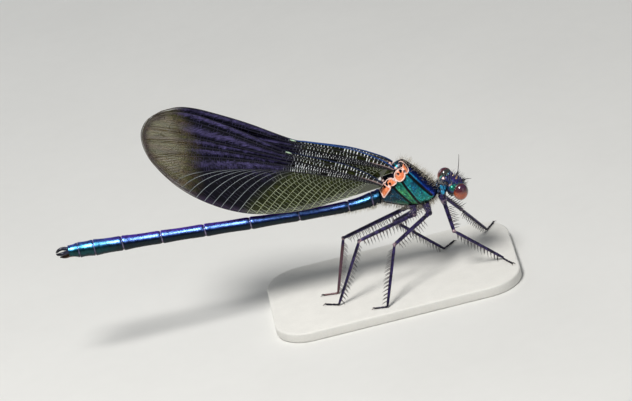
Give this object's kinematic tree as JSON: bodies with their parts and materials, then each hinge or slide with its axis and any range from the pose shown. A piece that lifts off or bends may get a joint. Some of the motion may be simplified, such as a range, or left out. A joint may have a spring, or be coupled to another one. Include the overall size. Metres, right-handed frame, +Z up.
{
  "type": "damselfly",
  "caption": "Life-size male banded demoiselle damselfly on a small pale display plate, with spiny legs and wings closed over a long straight abdomen.",
  "frame": {"origin": "on the floor under the middle of the whole model, level with the underside of the plate", "axes": "+X forward to the head, +Y to the animal's left, +Z up"},
  "size_m": [0.0506, 0.0174, 0.0287],
  "materials": {
    "abdomen_blue": "metallic violet-blue cuticle, bright above and dark below",
    "thorax_green": "metallic blue and green cuticle with black seams",
    "head_blue": "metallic blue-violet and green cuticle with short bristles",
    "eye_red": "glossy dark red-brown compound eye",
    "root_orange": "satin salmon-orange membrane with pale rims",
    "wing_dark": "thin wing sheet with a blue-black iridescent band, clear base and smoky tip",
    "leg_black": "glossy black-violet cuticle",
    "stand_pale": "plain off-white matt plate"
  },
  "bodies": {
    "root": {"abdomen_s01": "abdomen_blue", "abdomen_s02": "abdomen_blue", "abdomen_s03": "abdomen_blue", "abdomen_s04": "abdomen_blue", "abdomen_s05": "abdomen_blue", "abdomen_s06": "abdomen_blue", "abdomen_s07": "abdomen_blue", "abdomen_s08": "abdomen_blue", "abdomen_s09": "abdomen_blue", "abdomen_s10": "abdomen_blue", "cercus_left": "leg_black", "cercus_right": "leg_black", "paraproct_left": "leg_black", "paraproct_right": "leg_black", "pterothorax": "thorax_green", "prothorax_neck": "thorax_green", "head": "head_blue", "eye_left": "eye_red", "eye_right": "eye_red", "antenna_left": "leg_black", "antenna_right": "leg_black", "mouthparts": "leg_black", "forewing_left": "wing_dark", "forewing_right": "wing_dark", "hindwing_left": "wing_dark", "hindwing_right": "wing_dark", "forewing_root_left": "root_orange", "forewing_root_right": "root_orange", "hindwing_root_left": "root_orange", "hindwing_root_right": "root_orange", "front_left_coxa": "leg_black", "front_left_femur": "leg_black", "front_left_tibia": "leg_black", "front_left_tarsus": "leg_black", "front_right_coxa": "leg_black", "front_right_femur": "leg_black", "front_right_tibia": "leg_black", "front_right_tarsus": "leg_black", "middle_left_coxa": "leg_black", "middle_left_femur": "leg_black", "middle_left_tibia": "leg_black", "middle_left_tarsus": "leg_black", "middle_right_coxa": "leg_black", "middle_right_femur": "leg_black", "middle_right_tibia": "leg_black", "middle_right_tarsus": "leg_black", "hind_left_coxa": "leg_black", "hind_left_femur": "leg_black", "hind_left_tibia": "leg_black", "hind_left_tarsus": "leg_black", "hind_right_coxa": "leg_black", "hind_right_femur": "leg_black", "hind_right_tibia": "leg_black", "hind_right_tarsus": "leg_black", "stand_base": "stand_pale"}
  },
  "joints": []
}
